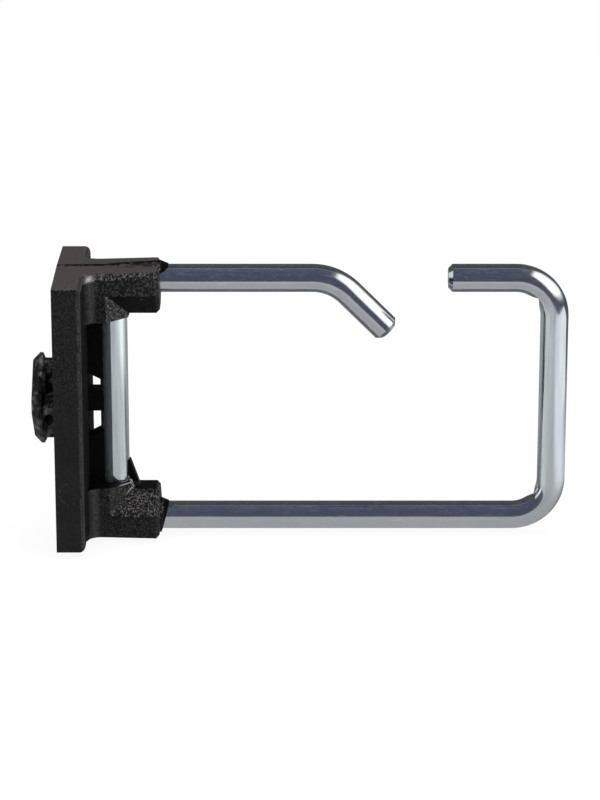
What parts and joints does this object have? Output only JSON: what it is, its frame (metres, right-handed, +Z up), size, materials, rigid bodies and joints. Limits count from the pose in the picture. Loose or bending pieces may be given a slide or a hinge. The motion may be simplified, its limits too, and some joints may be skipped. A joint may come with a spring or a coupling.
{
  "type": "rack cable ring",
  "caption": "Open cable ring of bent zinc-plated steel rod, moulded into a black plastic base plate with elbow sockets and a snap-in foot for a rack upright.",
  "frame": {"origin": "centre of the back face of the plate, on the axis of the snap foot", "axes": "+X out from the rack along the ring, +Z up along the plate, +Y across the plate; the part is mirrored about Y = 0"},
  "size_m": [0.114, 0.036, 0.0606],
  "materials": {
    "black_plastic": "fine spark-eroded grain on the sockets, smoother plate sides",
    "zinc_steel": "bright zinc plating with a faint blue tint over drawn rod"
  },
  "bodies": {
    "root": {"mounting_base": "black_plastic", "cable_ring": "zinc_steel"}
  },
  "joints": []
}
